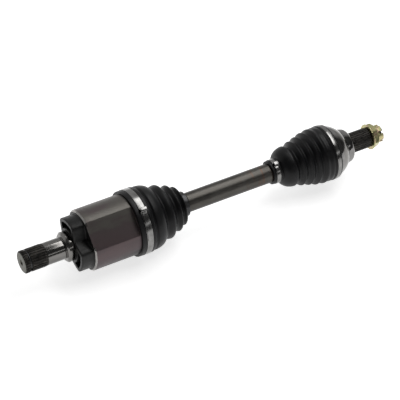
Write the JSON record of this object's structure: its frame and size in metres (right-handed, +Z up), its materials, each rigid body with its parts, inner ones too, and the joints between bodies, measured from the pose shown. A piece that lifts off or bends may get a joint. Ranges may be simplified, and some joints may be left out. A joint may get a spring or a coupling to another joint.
{
  "type": "drive axle",
  "caption": "Front-wheel drive shaft: plunging tripod joint and six-ball fixed joint on a solid bar, pleated rubber boots with band clamps, splined stubs and hub nut.",
  "frame": {"origin": "on the axle's axis at mid-length of the straight axle", "axes": "+X along the axle from the gearbox end to the wheel end; +Z up as it lies"},
  "size_m": [0.584, 0.0972, 0.0972],
  "materials": {
    "machined_steel": "dark turned forging steel, lightly oiled, black unmachined lobes",
    "bar_steel": "dark oiled induction-hardened bar, faint ring marks",
    "polished_steel": "ground and polished bright steel",
    "bearing_steel": "ground bearing steel, greased",
    "spring_steel": "phosphated spring steel",
    "clamp_band": "satin stainless band",
    "boot_rubber": "satin black moulded rubber",
    "yellow_zinc": "pale yellow passivated zinc plate"
  },
  "bodies": {
    "inboard_housing": {"inboard_stub": "polished_steel", "tripod_housing": "machined_steel", "stub_circlip": "spring_steel", "roller_stop_ring": "spring_steel", "inboard_large_clamp": "clamp_band"},
    "inboard_boot": {"inboard_boot": "boot_rubber"},
    "lead_needles": {"needle_row_1": "bearing_steel"},
    "shaft": {"axle_bar": "bar_steel", "spider": "bearing_steel", "spider_circlip": "spring_steel", "needle_row_2": "bearing_steel", "needle_row_3": "bearing_steel", "roller_lock_ring_1": "spring_steel", "roller_lock_ring_2": "spring_steel", "roller_lock_ring_3": "spring_steel", "inboard_small_clamp": "clamp_band", "outboard_small_clamp": "clamp_band", "inner_race": "bearing_steel", "inner_race_circlip": "spring_steel"},
    "roller_1": {"roller_1": "bearing_steel"},
    "roller_2": {"roller_2": "bearing_steel"},
    "roller_3": {"roller_3": "bearing_steel"},
    "outboard_boot": {"outboard_boot": "boot_rubber"},
    "bell": {"outer_race": "polished_steel", "outboard_large_clamp": "clamp_band", "axle_nut": "yellow_zinc"},
    "pole_balls": {"ball_1": "bearing_steel", "ball_4": "bearing_steel"},
    "cage": {"ball_cage": "bearing_steel", "ball_2": "bearing_steel", "ball_3": "bearing_steel", "ball_5": "bearing_steel", "ball_6": "bearing_steel"}
  },
  "joints": [
    {"name": "plunge", "type": "slide", "parent": "inboard_housing", "child": "inboard_boot", "axis": [1, 0, 0], "range_m": [-0.02, 0.014], "deforming": ["inboard_boot"]},
    {"name": "inboard_droop", "type": "hinge", "parent": "inboard_boot", "child": "lead_needles", "pos_m": [-0.149, 0, 0], "axis": [0, -0.9703, 0.2419], "range_deg": [-16, 16], "deforming": ["inboard_boot"]},
    {"name": "inboard_swing", "type": "hinge", "parent": "lead_needles", "child": "shaft", "pos_m": [-0.149, 0, 0], "axis": [0, 0.2419, 0.9703], "range_deg": [-5, 5], "deforming": ["inboard_boot"]},
    {"name": "roller_1_spin", "type": "hinge", "parent": "shaft", "child": "roller_1", "pos_m": [-0.149, 0, 0], "axis": [0, 0.2419, 0.9703], "continuous": true},
    {"name": "roller_2_spin", "type": "hinge", "parent": "shaft", "child": "roller_2", "pos_m": [-0.149, 0, 0], "axis": [0, -0.9613, -0.2756], "continuous": true},
    {"name": "roller_3_spin", "type": "hinge", "parent": "shaft", "child": "roller_3", "pos_m": [-0.149, 0, 0], "axis": [0, 0.7193, -0.6947], "continuous": true},
    {"name": "outboard_droop", "type": "hinge", "parent": "shaft", "child": "outboard_boot", "pos_m": [0.193, 0, 0], "axis": [0, 1, 0], "range_deg": [-10, 10], "deforming": ["outboard_boot"]},
    {"name": "steer", "type": "hinge", "parent": "outboard_boot", "child": "bell", "pos_m": [0.193, 0, 0], "axis": [0, 0, 1], "range_deg": [-43, 43], "deforming": ["outboard_boot"]},
    {"name": "cage_droop", "type": "hinge", "parent": "shaft", "child": "pole_balls", "pos_m": [0.193, 0, 0], "axis": [0, 1, 0], "range_deg": [-5, 5]},
    {"name": "cage_steer", "type": "hinge", "parent": "pole_balls", "child": "cage", "pos_m": [0.193, 0, 0], "axis": [0, 0, 1], "range_deg": [-21.5, 21.5]}
  ],
  "couplings": [
    {"joint": "cage_droop", "follows": "outboard_droop", "ratio": 0.5},
    {"joint": "cage_steer", "follows": "steer", "ratio": 0.5}
  ]
}
